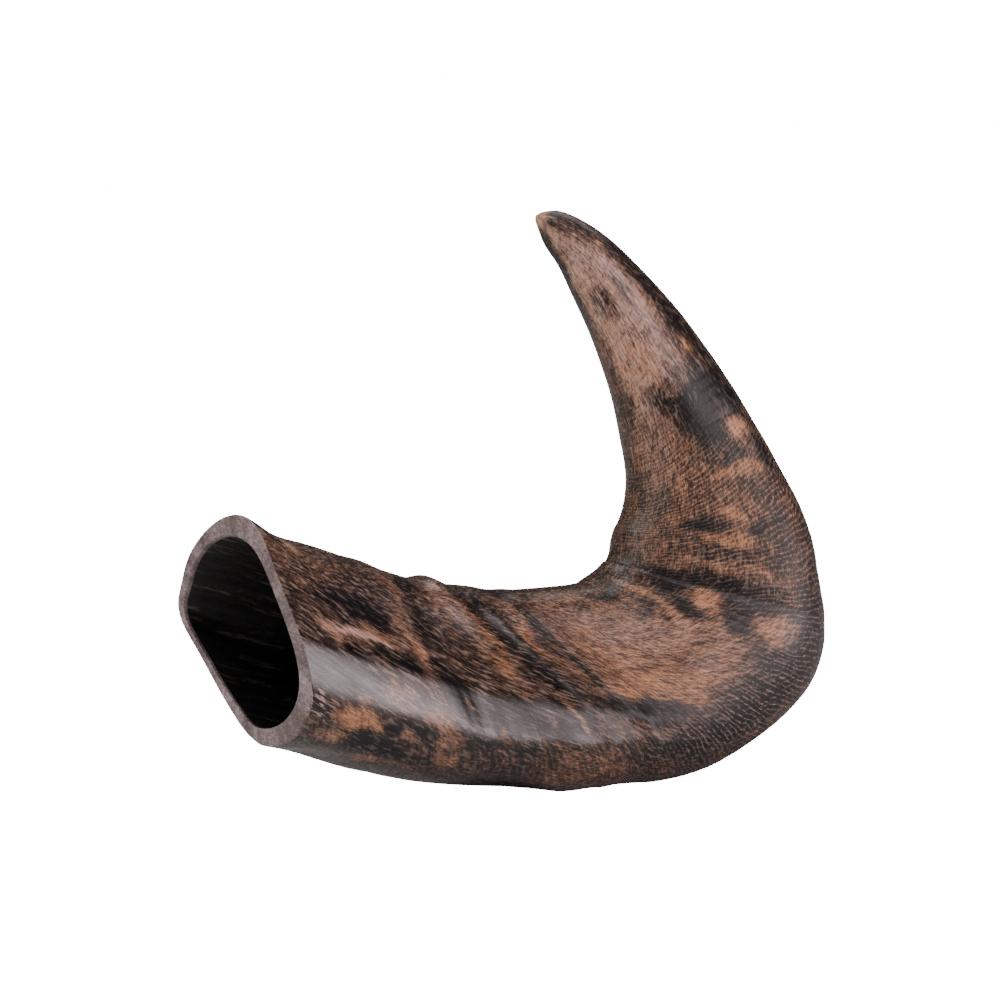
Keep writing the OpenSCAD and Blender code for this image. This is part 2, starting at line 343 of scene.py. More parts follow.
# Patches of colour: station, direction, half length, half width in degrees, lean in
# degrees per station, strength, then what they turn the skin to: tone from 0 for black to
# 1 for light tan, warmth, pale fibres and pale cross lines
PATCHES = (
    # Bell: broad zones first
    (0.9, 100, 1.3, 60, 0, 1.0, 0.39, 0.40, 0.45, 0.10),
    (0.3, 150, 0.35, 30, 0, 0.6, 0.50, 0.45, 0.40, 0.10),
    (0.9, 30, 1.2, 26, 0, 0.8, 0.36, 0.45, 0.25, 0.30),
    (0.33, 152, 0.10, 8, 0, 0.9, 0.85, 0.35, 0.50, 0.00),
    (0.40, 100, 0.14, 6, 0, 0.9, 0.80, 0.35, 0.60, 0.00),
    (0.78, 102, 0.32, 2, 0, 1.0, 0.92, 0.20, 0.90, 0.00),
    (0.90, 106, 0.20, 4, 0, 0.8, 0.70, 0.60, 0.40, 0.00),
    (0.80, 118, 0.34, 8, 0, 1.0, 0.10, 0.10, 0.10, 0.00),
    (0.62, 91, 0.16, 4, 0, 1.0, 0.12, 0.10, 0.20, 0.00),
    (0.98, 93, 0.20, 4, 0, 1.0, 0.10, 0.10, 0.20, 0.00),
    (1.26, 108, 0.10, 44, -25, 0.8, 0.55, 0.60, 0.30, 0.20),
    (1.32, 104, 0.09, 7, 0, 0.9, 0.82, 0.60, 0.40, 0.10),
    (1.47, 119, 0.14, 14, 0, 0.9, 0.10, 0.10, 0.20, 0.00),
    (1.48, 150, 0.10, 12, 0, 0.9, 0.16, 0.20, 0.20, 0.00),
    (1.55, 89, 0.17, 10, 0, 1.0, 0.08, 0.10, 0.20, 0.00),
    (1.90, 108, 0.34, 22, -30, 0.8, 0.36, 0.40, 0.45, 0.10),
    (1.92, 147, 0.20, 20, -20, 0.8, 0.66, 0.15, 0.70, 0.10),
    # Polished dark face above the crest, and its spots
    (0.30, 77, 0.48, 9, 0, 1.0, 0.10, 0.10, 0.12, 0.00),
    (1.02, 75, 0.30, 9, 0, 0.8, 0.50, 0.40, 0.50, 0.00),
    (1.60, 78, 0.24, 10, 0, 1.0, 0.07, 0.10, 0.10, 0.00),
    (2.25, 76, 0.60, 9, 0, 1.0, 0.12, 0.10, 0.15, 0.10),
    (2.40, 78, 0.06, 7, -10, 0.8, 0.74, 0.40, 0.50, 0.00),
    (2.69, 74, 0.03, 9, -8, 0.9, 0.84, 0.50, 0.50, 0.00),
    (0.85, 75, 0.08, 4, 0, 0.8, 0.72, 0.50, 0.20, 0.00),
    (0.50, 68, 0.10, 3, 0, 0.8, 0.70, 0.60, 0.20, 0.00),
    (1.65, 79, 0.08, 4, 0, 0.8, 0.70, 0.60, 0.20, 0.00),
    (1.20, 66, 0.10, 4, 0, 0.8, 0.70, 0.60, 0.20, 0.10),
    (1.93, 66, 0.07, 5, 0, 0.8, 0.70, 0.60, 0.20, 0.10),
    # A thin dark line along the crest: painted dark reflection where the face turns under
    (1.10, 60, 1.30, 3, 0, 0.7, 0.12, 0.20, 0.10, 0.10),
    # Under the crest of the bell
    (0.13, 63, 0.10, 10, 0, 1.0, 0.16, 0.20, 0.90, 0.00),
    (0.47, 58, 0.25, 6, 0, 1.0, 0.88, 0.95, 0.15, 0.10),
    (0.30, 44, 0.20, 6, 20, 0.9, 0.76, 0.60, 0.20, 0.10),
    (0.80, 34, 0.32, 3, 10, 0.8, 0.70, 0.60, 0.20, 0.10),
    (0.70, 45, 0.25, 6, 0, 1.0, 0.04, 0.10, 0.20, 0.00),
    (0.73, 58, 0.09, 4, 0, 1.0, 0.06, 0.10, 0.10, 0.00),
    (0.93, 57, 0.09, 4, 0, 0.9, 0.76, 0.70, 0.20, 0.10),
    (1.35, 56, 0.14, 16, -60, 0.9, 0.74, 0.60, 0.20, 0.20),
    # A cool grey zone under the bell: painted reflection of the floor
    (1.95, 47, 0.35, 10, 0, 0.7, 0.44, 0.15, 0.30, 0.50),
    (2.62, 45, 0.40, 16, 0, 0.8, 0.58, 0.60, 0.20, 0.40),
    # Grooves and the streaks beside them
    (2.24, 116, 0.16, 26, -48, 0.9, 0.68, 0.75, 0.45, 0.00),
    (2.68, 116, 0.10, 30, -60, 1.0, 0.78, 0.85, 0.40, 0.00),
    (2.65, 138, 0.12, 13, 0, 0.8, 0.64, 0.15, 0.60, 0.00),
    (2.86, 120, 0.07, 8, -40, 0.9, 0.14, 0.20, 0.10, 0.00),
    (2.65, 165, 0.10, 9, 0, 0.8, 0.20, 0.30, 0.10, 0.00),
    # Outside of the bend
    (3.85, 112, 1.05, 42, 0, 1.0, 0.61, 0.85, 0.35, 0.45),
    (3.80, 86, 0.55, 10, -8, 0.9, 0.74, 0.95, 0.20, 0.40),
    (3.95, 112, 0.70, 13, 0, 0.8, 0.74, 0.50, 0.50, 0.30),
    (4.50, 95, 0.28, 20, 0, 0.8, 0.76, 0.45, 0.35, 0.60),
    (3.30, 148, 0.32, 18, 0, 0.8, 0.62, 0.50, 0.40, 0.30),
    (3.38, 78, 0.42, 6, -10, 1.0, 0.06, 0.05, 0.10, 0.20),
    (4.45, 58, 0.95, 13, 0, 1.0, 0.13, 0.30, 0.15, 0.95),
    (4.20, 36, 1.10, 14, 0, 0.8, 0.38, 0.75, 0.15, 0.70),
    (3.50, 145, 0.10, 6, 0, 0.5, 0.22, 0.30, 0.10, 0.10),
    (4.05, 151, 0.28, 5, 0, 0.9, 0.18, 0.30, 0.10, 0.10),
    (4.43, 130, 0.14, 6, 0, 0.5, 0.25, 0.30, 0.10, 0.10),
    (4.50, 117, 0.06, 4, 0, 0.5, 0.22, 0.30, 0.10, 0.10),
    (4.66, 140, 0.07, 26, 0, 0.8, 0.80, 0.50, 0.40, 0.30),
    # Dark band across the bend, with orange patches in it
    (5.22, 92, 0.26, 62, -5, 0.9, 0.22, 0.60, 0.15, 0.45),
    (5.38, 97, 0.16, 38, 0, 1.0, 0.09, 0.20, 0.10, 0.40),
    (5.10, 127, 0.27, 11, 0, 1.0, 0.10, 0.20, 0.10, 0.15),
    (4.82, 111, 0.10, 8, 0, 0.9, 0.14, 0.30, 0.10, 0.20),
    (4.92, 88, 0.18, 5, 0, 0.9, 0.16, 0.30, 0.10, 0.20),
    (5.06, 107, 0.20, 12, 0, 1.0, 0.84, 0.85, 0.20, 0.40),
    (5.08, 73, 0.22, 10, 0, 1.0, 0.82, 0.75, 0.20, 0.50),
    (5.45, 63, 0.18, 16, 0, 0.7, 0.50, 0.30, 0.20, 0.80),
    (5.75, 90, 0.11, 26, 0, 0.9, 0.78, 0.55, 0.20, 0.60),
    (5.95, 104, 0.11, 9, 0, 0.9, 0.20, 0.30, 0.10, 0.50),
    (5.75, 142, 0.35, 24, 0, 0.8, 0.66, 0.60, 0.20, 0.50),
    (6.00, 52, 1.50, 12, 0, 0.8, 0.22, 0.40, 0.10, 0.70),
    # Lower arm
    (6.70, 100, 0.95, 70, 0, 0.9, 0.56, 0.70, 0.15, 0.80),
    (6.42, 116, 0.13, 12, 0, 1.0, 0.18, 0.30, 0.10, 0.50),
    (6.38, 80, 0.14, 8, 0, 1.0, 0.16, 0.30, 0.10, 0.50),
    (7.25, 86, 0.06, 12, 0, 0.9, 0.20, 0.30, 0.10, 0.50),
    (7.20, 52, 0.16, 8, 0, 1.0, 0.14, 0.30, 0.10, 0.30),
    (6.20, 100, 0.11, 16, 0, 0.9, 0.84, 0.90, 0.10, 0.60),
    (6.60, 96, 0.10, 5, 0, 0.9, 0.84, 0.90, 0.10, 0.60),
    (7.08, 82, 0.08, 23, 0, 0.9, 0.82, 0.90, 0.10, 0.60),
    (7.55, 67, 0.16, 10, 0, 1.0, 0.90, 0.90, 0.30, 0.40),
    (6.60, 172, 0.90, 12, 0, 0.7, 0.45, 0.75, 0.10, 0.70),
    (6.60, 40, 0.90, 12, 0, 0.7, 0.32, 0.50, 0.10, 0.60),
    (6.35, 66, 0.75, 9, 0, 0.8, 0.40, 0.60, 0.10, 0.80),
    # Black zone in the middle of the arm
    (7.90, 99, 0.42, 17, 12, 1.0, 0.06, 0.00, 0.08, 0.10),
    (8.08, 79, 0.26, 16, 0, 1.0, 0.04, 0.10, 0.08, 0.05),
    (7.92, 60, 0.26, 16, 0, 1.0, 0.02, 0.10, 0.15, 0.05),
    (8.17, 126, 0.15, 10, 0, 1.0, 0.06, 0.20, 0.05, 0.05),
    (7.60, 142, 0.62, 22, 0, 0.9, 0.70, 0.60, 0.40, 0.50),
    (8.50, 170, 1.60, 10, 0, 0.7, 0.50, 0.95, 0.10, 0.10),
    # Upper arm and tip
    (9.75, 118, 1.45, 42, 0, 1.0, 0.90, 0.12, 0.90, 0.00),
    (9.70, 142, 1.45, 16, 0, 0.9, 0.90, 0.50, 1.00, 0.00),
    (8.75, 128, 0.30, 24, 0, 0.9, 0.90, 0.60, 1.00, 0.00),
    (11.20, 128, 0.40, 22, 0, 0.9, 0.92, 0.30, 0.60, 0.00),
    (8.62, 69, 0.16, 9, 0, 0.9, 0.80, 0.90, 0.40, 0.00),
    (9.65, 98, 0.25, 8, 0, 0.8, 0.52, 0.05, 0.60, 0.00),
    (9.65, 130, 0.26, 15, 0, 0.8, 0.50, 0.10, 0.60, 0.00),
    (10.85, 140, 0.16, 10, 0, 0.8, 0.72, 0.70, 0.80, 0.00),
    (9.60, 56, 1.60, 15, 0, 0.9, 0.22, 0.40, 0.25, 0.00),
    (10.40, 72, 0.10, 4, 0, 0.8, 0.80, 0.40, 0.80, 0.00),
    (10.60, 184, 1.30, 17, 0, 0.9, 0.16, 0.40, 0.20, 0.00),
    (11.60, 165, 0.35, 22, 0, 0.8, 0.22, 0.40, 0.40, 0.00),
    (12.00, 110, 0.26, 200, 0, 1.0, 0.93, 0.55, 0.30, 0.00),
    (11.62, 68, 0.13, 14, 0, 0.8, 0.45, 0.60, 0.40, 0.00),
)
BARE = (0.40, 0.45, 0.30, 0.20)
# A patch fades out at this many times its half length and half width
PATCH_REACH = 1.5
# The patches of the back lie further along, by this many stations at most
BACK_SHIFT = 0.45
# Waves that bend the edges of the patches: height, turn in radians per mm along the horn
# and in radians per degree round it. The first ones move a patch along, the others round.
WANDER = 0.030
ALONG_WAVES = ((1.0, 1 / 5.1, 1 / 9), (0.6, 1 / 2.3, -1 / 5), (0.4, 1 / 7, 1 / 2.1))
ROUND_WAVES = ((1.3, 1 / 3.1, 1 / 11), (0.8, 1 / 1.7, 0))
# Black stripes along the grooves, partly the horn's own black and partly painted shade of
# the grooves, whose steps are almost flush: edge, half width in growth lines, strength, and
# the direction in which they start. Each lies above its edge by a share of its half width.
BLACK_AND_SHADE_STRIPES = (("groove", 0.105, 1.2, 170), ("bend", 0.042, 0.6, 155))
STRIPE_SHIFT = 0.35
# Degrees over which a stripe sets in, where it ends, and over how many degrees
STRIPE_START_FADE, STRIPE_END, STRIPE_END_FADE = 25, 82, 10


def waves(rows, z, side):
    return sum(height * np.sin(z * along + side * around) for height, along, around in rows)


def paint(growth, s, a):
    """Tone, warmth, pale fibres and pale cross lines of the skin."""
    a = a % 360
    back = a > 180
    # The back carries the same kind of patches, moved along so that it is no mirror image
    side = np.where(back, 360 - a, a)
    moved = s + np.where(back, BACK_SHIFT * np.sin(np.radians(a))**2, 0)
    z = length_at(growth)
    moved = moved + WANDER * waves(ALONG_WAVES, z, side)
    side = side + waves(ROUND_WAVES, z, side)
    skin = np.tile(np.array(BARE), s.shape + (1,))
    for station, direction, half_length, half_width, lean, strength, *values in PATCHES:
        along = (moved - station) / half_length
        turn = (side - direction - lean * (moved - station)) / half_width
        weight = strength * ease(PATCH_REACH - np.sqrt(along**2 + turn**2))
        skin += weight[..., None] * (np.array(values) - skin)
    # Dark stripes along the grooves: the horn's own black and painted groove shade
    for name, width, dark, start in BLACK_AND_SHADE_STRIPES:
        near = hump(growth, EDGES[name][0] + STRIPE_SHIFT * width, width)
        fade = ease((start - side) / STRIPE_START_FADE)
        fade = fade * ease((side - STRIPE_END) / STRIPE_END_FADE)
        skin[..., 0] -= dark * near * fade
    return skin


# ---------------------------------------------------------------- meshes

ANGLES = np.arange(AROUND) * 360.0 / AROUND
HORN, INSIDE, SAWN = range(3)
# Room that a mm of each surface gets in the bake layer
BARE_ROOM, HIDDEN_ROOM, INSIDE_ROOM, SAWN_ROOM = 1.0, 0.3, 0.5, 1.5
# Radius of the round that the grain's coordinates are measured on: growth lines, and mm
GRAIN_RADIUS = ((0, 5, 8, 12), (34, 34, 24, 14))
# Where the rounded outer edge of the rim meets the skin, as a station
RIM_END = 0.013
# The rim in section: station, and the way across the wall from the cavity at 0 to the
# outside at 1
RIM_PROFILE = (
    (0.014, 0.0), (0.006, 0.01), (0.001, 0.035), (0.0, 0.07),
    *((0.0, way) for way in np.linspace(0.15, 0.85, 11)),
    (0.0, 0.906), (0.001, 0.941), (0.005, 0.976), (RIM_END, 1.0),
)
# The lining starts this far in, and its lengthwise waves have a height in mm
LINING_START = 0.02
LINING_WAVE = 0.12


class Skin:
    """Rings of one closed piece from its first pole to its last, with what each carries."""

    def __init__(self):
        self.rings = []
        self.paint = []
        self.grain = []
        self.strips = []

    def add(self, points, growth, s, material, room):
        radius = np.interp(growth, *GRAIN_RADIUS)
        grain = np.stack([
            radius * np.cos(np.radians(ANGLES)), radius * np.sin(np.radians(ANGLES)),
            length_at(growth) * np.ones(AROUND),
        ], axis=-1)
        self.rings.append(points)
        self.grain.append(grain)
        self.paint.append(paint(growth * np.ones(AROUND), s * np.ones(AROUND), ANGLES))
        self.strips.append((material, room))


def crowded(n):
    """n fractions from just above 0 to just under 1, closer together near both ends."""
    return (1 - np.cos(np.pi * np.arange(1, n) / n)) / 2


def dome(t, fullness):
    return (1 - t**fullness)**0.6


def add_hidden(skin, name, inwards):
    """The covered surface of a cone, from its edge to its apex or back again."""
    start = station_of(EDGES[name][0], ANGLES)
    height = relief(np.full(AROUND, EDGES[name][0]), start, ANGLES) - step_at(name, ANGLES)
    for t in sorted(crowded(HIDDEN_RINGS), reverse=not inwards):
        s = start + (APEXES[name] - start) * t
        points = raised(s, ANGLES, dome(t, 0.8) * np.ones(AROUND), height * (1 - t))
        skin.add(points, EDGES[name][0], s, HORN, HIDDEN_ROOM)


def band_lines(lower, upper):
    """Growth lines of the rings of a bare band, closer together at both of its edges."""
    start, end = EDGES[lower][0], EDGES[upper][0]
    near = EDGE_RINGS if lower != "mouth" else (0.0,)
    far = EDGE_RINGS if upper != "end" else TIP_RINGS
    first, last = start + near[-1], end - far[-1]
    count = max(3, round((last - first) / RING_GAP))
    lines = [[start], start + np.array(near), end - np.array(far), np.linspace(first, last, count)]
    if upper != "end":
        lines.append([end])
    lines = np.unique(np.concatenate(lines))
    return lines[lines > RIM_END]


def add_band(skin, lower, upper):
    """The bare outside of a cone."""
    for growth in band_lines(lower, upper):
        s = station_of(growth, ANGLES)
        height = outside_height(lower, upper, np.full(AROUND, growth), s, ANGLES)
        points = raised(s, ANGLES, np.ones(AROUND), height)
        skin.add(points, growth, s, HORN, BARE_ROOM)


def hollow(a, t):
    """Share of the section that the cavity takes, with a thinner wall behind the mouth."""
    back = hump(a % 360, THIN_SIDE, THIN_SPREAD)
    return MOUTH_SHARE + THIN_GAIN * back * ease(1 - t / THIN_LENGTH)


def add_mouth(skin):
    """The cavity from its deep end out, the sawn rim and its two rounded edges."""
    around = np.radians(ANGLES)
    for t in crowded(CAVITY_RINGS)[::-1]:
        depth = CAVITY_END * t
        if depth < LINING_START:
            continue
        s = depth * np.ones(AROUND)
        wave = np.sin(around * 23 + 2 * np.sin(s)) + np.sin(around * 41 + s)
        height = LINING_WAVE * wave * min(1.0, depth / 0.3) * (1 - t)
        points = raised(s, ANGLES, hollow(ANGLES, t) * dome(t, 1.5), height)
        skin.add(points, depth, s, INSIDE, INSIDE_ROOM)
    inner = hollow(ANGLES, 0.0)
    for station, way in RIM_PROFILE:
        s = station * np.ones(AROUND)
        points = raised(s, ANGLES, inner + (1 - inner) * way, relief(s, s, ANGLES) * way)
        skin.add(points, station, s, SAWN, SAWN_ROOM)


def corners(count):
    """The faces of a skin of count rings: quads, then the triangles at its two ends."""
    i, j = np.meshgrid(np.arange(count - 1), np.arange(AROUND), indexing="ij")
    k = (j + 1) % AROUND
    column = np.arange(AROUND)
    after = (column + 1) % AROUND

    def corner(ring, place_in_ring):
        return 1 + ring * AROUND + place_in_ring

    quads = np.stack([corner(i, j), corner(i, k), corner(i + 1, k), corner(i + 1, j)], -1)
    start = np.stack([np.zeros_like(column), corner(0, after), corner(0, column)], -1)
    last = np.full_like(column, 1 + count * AROUND)
    end = np.stack([last, corner(count - 1, column), corner(count - 1, after)], -1)
    return quads.reshape(-1, 4), start, end


def bake_layer(rings, rooms):
    """Places in the bake layer of the faces' corners, in the order of corners()."""
    gaps = np.linalg.norm(np.diff(rings, axis=0), axis=-1).mean(1)
    heights = np.concatenate([[1.0], 1.0 + np.cumsum(gaps * rooms[1:])])
    heights = 0.01 + 0.98 * heights / (heights[-1] + 1.0)
    column = np.arange(AROUND)
    left, right = column / AROUND, (column + 1) / AROUND
    middle = (left + right) / 2

    def uv(u, v):
        return np.stack(np.broadcast_arrays(u, v), -1)

    low, high = heights[:-1, None], heights[1:, None]
    quads = np.stack([uv(left, low), uv(right, low), uv(right, high), uv(left, high)], 2)
    start = np.stack([uv(middle, 0.002), uv(right, heights[0]), uv(left, heights[0])], 1)
    end = np.stack([uv(middle, 0.998), uv(left, heights[-1]), uv(right, heights[-1])], 1)
    return quads.reshape(-1, 4, 2), start, end


def with_ends(rows):
    """What the rings carry, with the mean of the first and the last ring for the two ends."""
    return np.vstack([rows[0].mean(0)[None], np.vstack(rows), rows[-1].mean(0)[None]])


def build(name, skin, first, last, materials):
    """A closed mesh from the skin's rings, with a point at each end."""
    rings = np.array(skin.rings)
    verts = np.vstack([[first], rings.reshape(-1, 3), [last]]) * MM
    kinds = np.array([kind for kind, _ in skin.strips])
    rooms = np.array([room for _, room in skin.strips])
    parts = corners(len(rings))
    faces = [face for part in parts for face in part.tolist()]
    uvs = [face for part in bake_layer(rings, rooms) for face in part.tolist()]

    # Turn every face round if the closed skin came out inside out
    a, b, c, d = (verts[parts[0][:, n]] for n in range(4))
    volume = (np.cross(a, b) * c).sum() + (np.cross(a, c) * d).sum()
    if volume < 0:
        faces = [face[::-1] for face in faces]
        uvs = [face[::-1] for face in uvs]

    mesh = bpy.data.meshes.new(name)
    mesh.from_pydata(verts.tolist(), [], faces)
    for material in materials:
        mesh.materials.append(material)
    indices = np.repeat(np.concatenate([kinds[1:], kinds[:1], kinds[-1:]]), AROUND)
    mesh.polygons.foreach_set("material_index", indices.astype(np.int32))
    mesh.polygons.foreach_set("use_smooth", np.ones(len(faces), bool))
    layer = mesh.uv_layers.new(name="OFBake")
    flat = np.array([corner for face in uvs for corner in face], np.float32)
    layer.data.foreach_set("uv", flat.ravel())
    grain = mesh.attributes.new("grain", "FLOAT_VECTOR", "POINT")
    grain.data.foreach_set("vector", with_ends(skin.grain).astype(np.float32).ravel())
    tint = mesh.attributes.new("skin", "FLOAT_COLOR", "POINT")
    tint.data.foreach_set("color", with_ends(skin.paint).astype(np.float32).ravel())
    mesh.update()
    piece = bpy.data.objects.new(name, mesh)
    bpy.context.scene.collection.objects.link(piece)
    return piece


def middle_at(s):
    return spline(np.array(float(s)))[0][:3]


# ---------------------------------------------------------------- materials

def new_node(tree, kind, inputs=(), **settings):
    """A node with its settings and its inputs, each a value or another node's output."""
    node = tree.nodes.new(kind)
    for name, value in settings.items():
        setattr(node, name, value)
    for name, value in dict(inputs).items():
        if isinstance(value, bpy.types.NodeSocket):
            tree.links.new(value, node.inputs[name])
        else:
            node.inputs[name].default_value = value
    return node


def noise(tree, grain, stretch, detail=3.0, roughness=0.55, distortion=0.0, offset=0.0):
    """Noise in the horn's own coordinates, with its size across and along in steps per mm."""
    moved = new_node(tree, "ShaderNodeVectorMath", {0: grain, 1: stretch, 2: (offset,) * 3},
                     operation="MULTIPLY_ADD")
    return new_node(tree, "ShaderNodeTexNoise", {
        "Vector": moved.outputs[0], "Scale": 1.0, "Detail": detail, "Roughness": roughness,
        "Distortion": distortion}).outputs[0]


def math_node(tree, operation, a, b=0.0, c=0.0, clamp=False):
    return new_node(tree, "ShaderNodeMath", {0: a, 1: b, 2: c},
                    operation=operation, use_clamp=clamp).outputs[0]


def combined(tree, x, y, z):
    return new_node(tree, "ShaderNodeCombineXYZ", {"X": x, "Y": y, "Z": z}).outputs[0]


def attribute(tree, name):
    return new_node(tree, "ShaderNodeAttribute", attribute_name=name)


def span(tree, value, low, high, to_low=0.0, to_high=1.0):
    """value from low to high becomes to_low to to_high, held at both ends."""
    return new_node(tree, "ShaderNodeMapRange", {
        "Value": value, "From Min": low, "From Max": high, "To Min": to_low, "To Max": to_high,
    }).outputs[0]


def mixed(tree, factor, first, second, blend="MIX"):
    return new_node(tree, "ShaderNodeMixRGB", {0: factor, 1: first, 2: second},
                    blend_type=blend).outputs[0]


def ramp(tree, factor, stops):
    node = new_node(tree, "ShaderNodeValToRGB", {0: factor})
    while len(node.color_ramp.elements) < len(stops):
        node.color_ramp.elements.new(0.5)
    for element, (position, colour) in zip(node.color_ramp.elements, stops):
        element.position = position
        element.color = (*colour, 1.0)
    return node.outputs[0]


def finished(colour, rough, height, strength, distance, ior, shine=0.5):
    """Adds the bump and the shader to the tree that already holds the colour."""
    tree = colour.id_data
    bump = new_node(tree, "ShaderNodeBump", {
        "Strength": strength, "Distance": distance, "Height": height})
    shader = new_node(tree, "ShaderNodeBsdfPrincipled", {
        "Base Color": colour, "Roughness": rough, "Normal": bump.outputs[0], "IOR": ior,
        "Specular IOR Level": shine})
    out = new_node(tree, "ShaderNodeOutputMaterial")
    tree.links.new(shader.outputs[0], out.inputs[0])


def new_material(name):
    material = bpy.data.materials.new(name)
    material.use_nodes = True
    material.node_tree.nodes.clear()
    return material, material.node_tree


# Colours of the skin from black to light tan
SKIN_TONES = (
    (0.00, (0.0028, 0.0022, 0.0028)), (0.22, (0.0075, 0.0058, 0.0058)),
    (0.40, (0.0260, 0.0172, 0.0130)), (0.56, (0.0950, 0.0555, 0.0385)),
    (0.75, (0.2550, 0.1400, 0.0920)), (1.00, (0.5600, 0.3300, 0.2350)),
)
# Colours of the lining: near black, which paints the shade inside the cavity, and a few paler
# streaks
LINING_SHADE_TONES = (
    (0.30, (0.005, 0.004, 0.0045)), (0.56, (0.014, 0.011, 0.010)), (0.73, (0.160, 0.125, 0.110)),
)
SAWN_TONES = (
    (0.00, (0.060, 0.036, 0.030)), (0.45, (0.190, 0.130, 0.122)), (1.00, (0.520, 0.400, 0.390)),
)
# Tints of the skin, and the colour of its flecks and pale lines
WARM = (1.18, 0.90, 0.62, 1.0)
COOL = (0.92, 1.00, 1.18, 1.0)
PALE = (0.74, 0.50, 0.39, 1.0)
# Phase of the pale cross lines per mm of length, and by how much they waver
LINE_TURN = 2 * math.pi / 1.65
LINE_WAVER = 22.0
# The fibres run askew up to a distance from the mouth in mm, and the lines across them too
FIBRE_LEAN = -0.42
FIBRE_LEAN_END = 190.0
LINE_LEAN = -0.38


def horn_material(name, rough, shine):
    """Polished keratin: blotches, askew fibres, cross lines and pale flecks."""
    material, tree = new_material(name)
    grain = attribute(tree, "grain").outputs["Vector"]
    skin = attribute(tree, "skin")
    split = new_node(tree, "ShaderNodeSeparateColor", {0: skin.outputs["Color"]})
    tone, warmth, pale = split.outputs[0], split.outputs[1], split.outputs[2]
    cross_lines = skin.outputs["Alpha"]

    x, y, z = new_node(tree, "ShaderNodeSeparateXYZ", {0: grain}).outputs
    near_mouth = math_node(tree, "MINIMUM", z, FIBRE_LEAN_END)
    fibres = combined(tree, math_node(tree, "MULTIPLY_ADD", near_mouth, FIBRE_LEAN, x), y, z)
    lean = math_node(tree, "MULTIPLY_ADD", x, LINE_LEAN, z)
    slanted = combined(tree, x, y, lean)

    blotch = noise(tree, grain, (0.16, 0.16, 0.11), detail=5.0, roughness=0.62, distortion=0.4)
    grit = noise(tree, grain, (1.3, 1.3, 1.0), roughness=0.7, offset=2.0)
    waver = noise(tree, grain, (0.09, 0.09, 0.12), roughness=0.6, offset=5.0)
    fibre = noise(tree, fibres, (0.75, 0.75, 0.085), roughness=0.6, distortion=0.15)
    hair = noise(tree, fibres, (2.1, 2.1, 0.22), roughness=0.65, offset=7.0)
    speck = noise(tree, fibres, (1.1, 1.1, 0.26), detail=2.0, roughness=0.5, offset=11.0)
    stroke = noise(tree, fibres, (2.5, 2.5, 0.38), detail=1.0, roughness=0.5, distortion=0.8,
                   offset=17.0)
    stroke = span(tree, stroke, 0.44, 0.58)
    across = noise(tree, slanted, (0.11, 0.11, 0.85), detail=4.0, roughness=0.7,
                   distortion=0.2, offset=3.0)
    turn = math_node(tree, "MULTIPLY", lean, LINE_TURN)
    turn = math_node(tree, "MULTIPLY_ADD", waver, LINE_WAVER, turn)
    line = math_node(tree, "MULTIPLY_ADD", math_node(tree, "SINE", turn), 0.5, 0.5)

    # Each layer moves the tone to both sides of the painted one
    total = tone
    layers = ((blotch, 0.62), (fibre, 0.66), (hair, 0.85), (grit, 0.60), (across, 0.75),
              (stroke, 0.17))
    for layer, strength in layers:
        centred = math_node(tree, "SUBTRACT", layer, 0.5)
        total = math_node(tree, "MULTIPLY_ADD", centred, strength, total)
    ridges = math_node(tree, "MULTIPLY", math_node(tree, "SUBTRACT", line, 0.5), cross_lines)
    total = math_node(tree, "MULTIPLY_ADD", ridges, 0.16, total, clamp=True)
    colour = ramp(tree, total, SKIN_TONES)

    hue = math_node(tree, "MULTIPLY_ADD", blotch, 0.8, -0.4)
    hue = math_node(tree, "ADD", warmth, hue, clamp=True)
    colour = mixed(tree, 1.0, colour, mixed(tree, hue, COOL, WARM), "MULTIPLY")
    flecks = math_node(tree, "MULTIPLY", span(tree, speck, 0.54, 0.64), pale)
    colour = mixed(tree, math_node(tree, "MULTIPLY", flecks, 0.70), colour, PALE)
    broken = math_node(tree, "MULTIPLY", span(tree, line, 0.80, 0.98),
                       span(tree, grit, 0.42, 0.58))
    lines = math_node(tree, "MULTIPLY", broken, cross_lines)
    colour = mixed(tree, math_node(tree, "MULTIPLY", lines, 0.42), colour, PALE)

    gloss = span(tree, fibre, 0.3, 0.7, rough - 0.04, rough + 0.06)
    gloss = math_node(tree, "MULTIPLY_ADD", cross_lines, 0.26, gloss)
    raised_lines = math_node(tree, "MULTIPLY", line, cross_lines)
    height = math_node(tree, "MULTIPLY_ADD", hair, 0.5, fibre)
    height = math_node(tree, "MULTIPLY_ADD", raised_lines, 0.35, height)
    finished(colour, gloss, height, 0.35, 0.06 * MM, 1.55, shine)
    return material


def inside_material(name):
    """The rough lining of the cavity, painted near black for the shade inside it, with faint
    lengthwise streaks.
    """
    material, tree = new_material(name)
    grain = attribute(tree, "grain").outputs["Vector"]
    streak = noise(tree, grain, (0.35, 0.35, 0.055), detail=5.0, roughness=0.65)
    spot = noise(tree, grain, (0.5, 0.5, 0.25), roughness=0.6, offset=9.0)
    height = math_node(tree, "MULTIPLY_ADD", spot, 0.5, streak)
    rough = span(tree, spot, 0.3, 0.7, 0.42, 0.6)
    finished(ramp(tree, streak, LINING_SHADE_TONES), rough, height, 0.5, 0.4 * MM, 1.5)
    return material


